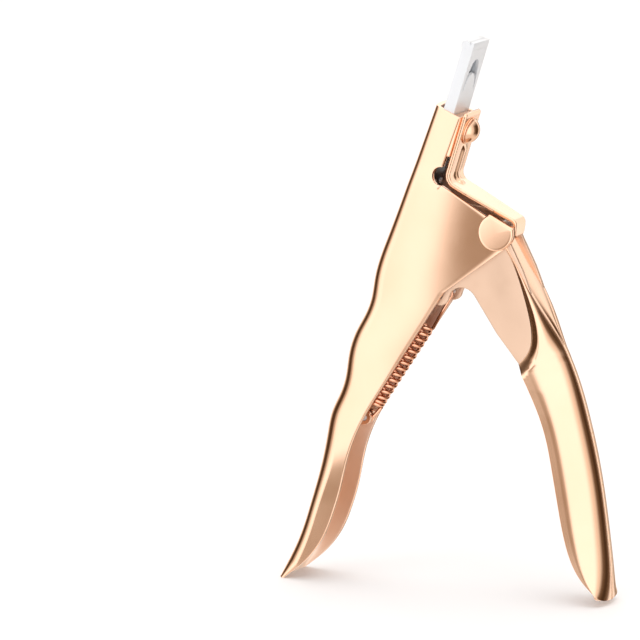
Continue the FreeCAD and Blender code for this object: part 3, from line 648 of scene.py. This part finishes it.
def lathe(build, along, shape, sides=64):
    """Turns (radius, out) points round the screw's axis."""
    rows = []
    for turn in np.linspace(0.0, 2 * math.pi, sides, endpoint=False):
        row = []
        for radius, out in shape:
            x, z = head(along + radius * math.sin(turn), out)
            row.append((x, radius * math.cos(turn), z))
        rows.append(row)
    build.grid(rows + rows[:1])


def make_screw(rose):
    base = STRAP_BACK + STRAP_THICK + WASHER_THICK
    centre = (DOME_R ** 2 - DOME_HIGH ** 2) / (2 * DOME_HIGH)
    ball = centre + DOME_HIGH
    shape = [(0.0, base - SHANK_DEEP), (SHANK_R, base - SHANK_DEEP), (SHANK_R, base),
             (DOME_R - DOME_RIM_IN, base), (DOME_R, base + DOME_RIM_UP)]
    first = math.asin(DOME_R / ball)
    for turn in np.linspace(first, 0.0, 22)[1:]:
        shape.append((ball * math.sin(turn), base - centre + ball * math.cos(turn)))
    build = Build()
    lathe(build, SCREW_ALONG, shape)
    screw = add_object("dome_screw", build.points, build.faces, "fixed_handle", rose)
    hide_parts("clamp_screw")


# Spring ------------------------------------------------------------------------------------

def make_spring(copper):
    foot = np.array([SPRING_FOOT[0], 0.0, SPRING_FOOT[1]])
    top = np.array([EAR[0], 0.0, EAR[1]])
    length = np.linalg.norm(top - foot)
    axis = (top - foot) / length
    side = np.array([axis[2], 0.0, -axis[0]])
    depth = np.array([0.0, 1.0, 0.0])
    path = []
    for turn in np.linspace(math.radians(-LOOP_TURN), 0.0, 30):
        path.append(foot + LOOP_R * (side * math.cos(turn) + axis * math.sin(turn)))
    start, end = LOWER_LEAD, length - UPPER_LEAD
    coils = round((end - start) / COIL_PITCH) + 1
    turns = np.linspace(0.0, coils, coils * 28 + 1)
    climb = np.cumsum(np.where(turns < CLOSED_COILS, CLOSED_PITCH, 1.0))
    for turn, share in zip(turns * 2 * math.pi, (climb - climb[0]) / (climb[-1] - climb[0])):
        s = start + (end - start) * share
        path.append(foot + axis * s + COIL_R * (side * math.cos(turn) + depth * math.sin(turn)))
    for turn in np.linspace(0.0, math.radians(LOOP_TURN), 30):
        path.append(top + LOOP_R * (side * math.cos(turn) + axis * math.sin(turn)))
    path = np.array(path)
    build = Build()
    ways = np.gradient(path, axis=0)
    ways /= np.linalg.norm(ways, axis=1)[:, None]
    up = np.cross(ways[0], depth)
    rows = []
    for point, way in zip(path, ways):
        up = up - way * (up @ way)
        up /= np.linalg.norm(up)
        other = np.cross(way, up)
        rows.append([tuple(point + WIRE_R * (up * math.cos(t) + other * math.sin(t)))
                     for t in np.linspace(0.0, 2 * math.pi, 12, endpoint=False)])
    build.grid(rows, closed=True)
    build.fan(list(reversed(rows[0])))
    build.fan(rows[-1])
    spring = add_object("spring_wire", build.points, build.faces, None, copper)
    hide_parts("return_spring")
    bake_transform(spring)


# Materials ---------------------------------------------------------------------------------

def new_material(name):
    material = bpy.data.materials.new(name)
    material.use_nodes = True
    nodes = material.node_tree.nodes
    return material, nodes, material.node_tree.links, nodes["Principled BSDF"]


def metal(name, light, dark, roughness, polish, smudge=40.0, bump=0.05, metallic=1.0):
    """Polished metal: slow colour drift, cloudy gloss and very fine polishing lines."""
    material, nodes, links, shader = new_material(name)
    shader.inputs["Metallic"].default_value = metallic
    place = nodes.new("ShaderNodeTexCoord")
    cloud = nodes.new("ShaderNodeTexNoise")
    cloud.inputs["Scale"].default_value = smudge
    cloud.inputs["Detail"].default_value = 4.0
    links.new(place.outputs["Object"], cloud.inputs["Vector"])
    tint = nodes.new("ShaderNodeValToRGB")
    tint.color_ramp.elements[0].position = 0.35
    tint.color_ramp.elements[0].color = (*dark, 1)
    tint.color_ramp.elements[1].position = 0.65
    tint.color_ramp.elements[1].color = (*light, 1)
    links.new(cloud.outputs["Fac"], tint.inputs["Fac"])
    links.new(tint.outputs["Color"], shader.inputs["Base Color"])
    stretch = nodes.new("ShaderNodeMapping")
    stretch.inputs["Scale"].default_value = polish
    links.new(place.outputs["Object"], stretch.inputs["Vector"])
    lines = nodes.new("ShaderNodeTexNoise")
    lines.inputs["Scale"].default_value = 1.0
    lines.inputs["Detail"].default_value = 5.0
    links.new(stretch.outputs["Vector"], lines.inputs["Vector"])
    mix = nodes.new("ShaderNodeMath")
    mix.operation = "MULTIPLY_ADD"
    links.new(lines.outputs["Fac"], mix.inputs[0])
    mix.inputs[1].default_value = 0.5
    links.new(cloud.outputs["Fac"], mix.inputs[2])
    gloss = nodes.new("ShaderNodeMapRange")
    gloss.inputs["From Min"].default_value = 0.4
    gloss.inputs["From Max"].default_value = 1.1
    gloss.inputs["To Min"].default_value = roughness * 0.7
    gloss.inputs["To Max"].default_value = roughness * 1.35
    links.new(mix.outputs["Value"], gloss.inputs["Value"])
    links.new(gloss.outputs["Result"], shader.inputs["Roughness"])
    relief = nodes.new("ShaderNodeBump")
    relief.inputs["Strength"].default_value = bump
    relief.inputs["Distance"].default_value = 0.00005
    links.new(lines.outputs["Fac"], relief.inputs["Height"])
    links.new(relief.outputs["Normal"], shader.inputs["Normal"])
    return material


def dress_cad_nodes(looks):
    """Gives each CAD node that still shows its finish, and rolls its sharp edges a little."""
    for row in frame["record"]["subparts"]:
        obj = frame["nodes"][row["node"]]
        obj.data.materials.clear()
        obj.data.materials.append(looks[row["material_slot"]])
        weld = obj.modifiers.new("weld", "WELD")
        weld.merge_threshold = 2e-6
        bevel = obj.modifiers.new("edge", "BEVEL")
        bevel.width = 0.12 * MM
        bevel.segments = 2
        bevel.limit_method = "ANGLE"
        bevel.angle_limit = math.radians(40)


# Studio ------------------------------------------------------------------------------------

def direction(turn, rise):
    """Away from the tool: turn from the front towards the lever, rise above the floor, in degrees."""
    a, e = math.radians(turn), math.radians(rise)
    return Vector((math.sin(a) * math.cos(e), -math.cos(a) * math.cos(e), math.sin(e)))


def add_camera():
    data = bpy.data.cameras.new("camera")
    data.lens = LENS
    data.sensor_width = SENSOR
    data.shift_x, data.shift_y = SHIFT_X, SHIFT_Y
    data.clip_end = 20.0
    camera = bpy.data.objects.new("camera", data)
    bpy.context.scene.collection.objects.link(camera)
    away = direction(VIEW_TURN, VIEW_RISE)
    camera.location = (Vector(VIEW_TARGET) + away * VIEW_DISTANCE) * MM
    camera.rotation_euler = away.to_track_quat("Z", "Y").to_euler()
    bpy.context.scene.camera = camera


FLOOR = 8.0      # half the floor's side, in metres


def add_floor():
    material, nodes, links, shader = new_material("floor_white")
    shader.inputs["Base Color"].default_value = (0.92, 0.935, 0.97, 1)
    shader.inputs["Roughness"].default_value = 0.7
    shader.inputs["Specular IOR Level"].default_value = 0.1
    mesh = bpy.data.meshes.new("floor")
    corners = [(-FLOOR, -FLOOR, 0), (FLOOR, -FLOOR, 0), (FLOOR, FLOOR, 0), (-FLOOR, FLOOR, 0)]
    mesh.from_pydata(corners, [], [(0, 1, 2, 3)])
    mesh.materials.append(material)
    floor = bpy.data.objects.new("floor", mesh)
    floor.visible_glossy = False
    bpy.context.scene.collection.objects.link(floor)


def soft_box(name, turn, rise, distance, width, height, power):
    data = bpy.data.lights.new(name, "AREA")
    data.shape = "RECTANGLE"
    data.size, data.size_y = width, height
    data.energy = power
    light = bpy.data.objects.new(name, data)
    bpy.context.scene.collection.objects.link(light)
    away = direction(turn, rise)
    light.location = Vector((0, 0, 0.07)) + away * distance
    light.rotation_euler = away.to_track_quat("Z", "Y").to_euler()
    return light


# Brightness of the studio round the tool: (turn from the front, brightness), the lever's side positive
STUDIO_RING = [(-180, 0.35), (-157, 0.7), (-125, 0.75), (-108, 0.3), (-96, 0.06), (-72, 0.05), (-58, 0.4),
               (-42, 0.9), (-30, 1.0), (55, 1.0), (82, 0.62), (104, 0.1), (124, 0.04), (144, 0.12),
               (153, 0.8), (163, 0.8), (173, 0.22)]
STUDIO_LEVEL = 1.6
CEILING, UNDER = (0.3, 0.75, 0.75), (-0.35, -0.7, 0.6)   # upward part of a direction: from, to, level there
# Soft patches of another brightness: (turn, rise, degrees to where one starts to fade, to its end, level)
STUDIO_PATCHES = [(-16.5, -10.0, 0.5, 13.0, 0.26),      # seen in the flat sides, next to the pivot
                  (-175.0, 25.0, 8.0, 22.0, 0.95),      # seen in the bracket's lower leg
                  (-62.0, 36.0, 10.0, 28.0, 0.04)]      # seen in the foot of the lever's step


def warm(level):
    """The studio's darker parts are warmer."""
    return (level, level ** 1.18, level ** 1.4, 1)


def math_node(nodes, links, operation, first, second):
    node = nodes.new("ShaderNodeMath")
    node.operation = operation
    for socket, value in zip(node.inputs, (first, second)):
        if isinstance(value, (int, float)):
            socket.default_value = value
        else:
            links.new(value, socket)
    return node.outputs["Value"]


def smooth_share(nodes, links, value, start, end):
    share = nodes.new("ShaderNodeMapRange")
    share.interpolation_type = "SMOOTHSTEP"
    share.inputs["From Min"].default_value = start
    share.inputs["From Max"].default_value = end
    links.new(value, share.inputs["Value"])
    return share.outputs["Result"]


def mix_colour(nodes, links, factor, first, second):
    mix = nodes.new("ShaderNodeMix")
    mix.data_type = "RGBA"
    links.new(factor, mix.inputs["Factor"])
    for socket, value in ((mix.inputs["A"], first), (mix.inputs["B"], second)):
        if isinstance(value, float):
            socket.default_value = warm(value)
        else:
            links.new(value, socket)
    return mix.outputs["Result"]


def add_world():
    world = bpy.data.worlds.new("studio")
    world.use_nodes = True
    nodes, links = world.node_tree.nodes, world.node_tree.links
    place = nodes.new("ShaderNodeTexCoord").outputs["Generated"]
    split = nodes.new("ShaderNodeSeparateXYZ")
    links.new(place, split.inputs["Vector"])
    front = math_node(nodes, links, "MULTIPLY", split.outputs["Y"], -1.0)
    turn = math_node(nodes, links, "ARCTAN2", split.outputs["X"], front)
    around = nodes.new("ShaderNodeMapRange")
    around.inputs["From Min"].default_value = -math.pi
    around.inputs["From Max"].default_value = math.pi
    links.new(turn, around.inputs["Value"])
    ring = nodes.new("ShaderNodeValToRGB")
    ring.color_ramp.interpolation = "EASE"
    stops = ring.color_ramp.elements
    while len(stops) < len(STUDIO_RING):
        stops.new(0.5)
    for stop, (degrees, level) in zip(stops, STUDIO_RING):
        stop.position = (degrees + 180) / 360
        stop.color = warm(level)
    links.new(around.outputs["Result"], ring.inputs["Fac"])
    level = ring.outputs["Color"]
    for start, end, brightness in (CEILING, UNDER):
        share = smooth_share(nodes, links, split.outputs["Z"], start, end)
        level = mix_colour(nodes, links, share, level, brightness)
    for turn, rise, inner, outer, brightness in STUDIO_PATCHES:
        nearness = nodes.new("ShaderNodeVectorMath")
        nearness.operation = "DOT_PRODUCT"
        links.new(place, nearness.inputs[0])
        nearness.inputs[1].default_value = direction(turn, rise)
        inside = smooth_share(nodes, links, nearness.outputs["Value"],
                              math.cos(math.radians(outer)), math.cos(math.radians(inner)))
        level = mix_colour(nodes, links, inside, level, brightness)
    background = nodes["Background"]
    links.new(level, background.inputs["Color"])
    background.inputs["Strength"].default_value = STUDIO_LEVEL
    bpy.context.scene.world = world


add_camera()
add_world()
add_floor()
soft_box("overhead", 0, 88, 1.6, 1.6, 1.6, 6)

rose_gold = metal("rose_gold", (0.95, 0.635, 0.455), (0.93, 0.60, 0.42), 0.15, (90.0, 900.0, 90.0))
web_gold = metal("rose_gold_web", (0.80, 0.57, 0.43), (0.77, 0.54, 0.40), 0.38, (200.0, 400.0, 200.0))
inner_gold = metal("rose_gold_inner", (0.96, 0.76, 0.64), (0.92, 0.70, 0.57), 0.42, (200.0, 400.0, 200.0))
polished_steel = metal("polished_steel", (0.80, 0.82, 0.85), (0.76, 0.78, 0.81), 0.38, (300.0, 900.0, 300.0),
                       metallic=0.3)
# near-black blade: the blade's steel is darkened as painted shade, so that the recessed slot round it in the
# guide's arch reads dark
blade_steel = metal("blade_steel", (0.06, 0.06, 0.064), (0.035, 0.035, 0.038), 0.35, (200.0, 2500.0, 200.0))
copper_wire = metal("copper_wire", (0.90, 0.50, 0.34), (0.82, 0.42, 0.27), 0.14, (600.0, 600.0, 600.0))
looks = {"rose_gold": rose_gold, "polished_steel": polished_steel, "blade_steel": blade_steel,
         "copper_wire": copper_wire}

dress_cad_nodes(looks)
make_fixed_handle(rose_gold, inner_gold)
make_lever(rose_gold, inner_gold, web_gold)
make_bracket(rose_gold)
make_screw(rose_gold)
make_spring(copper_wire)

bpy.context.scene.view_settings.view_transform = "Standard"
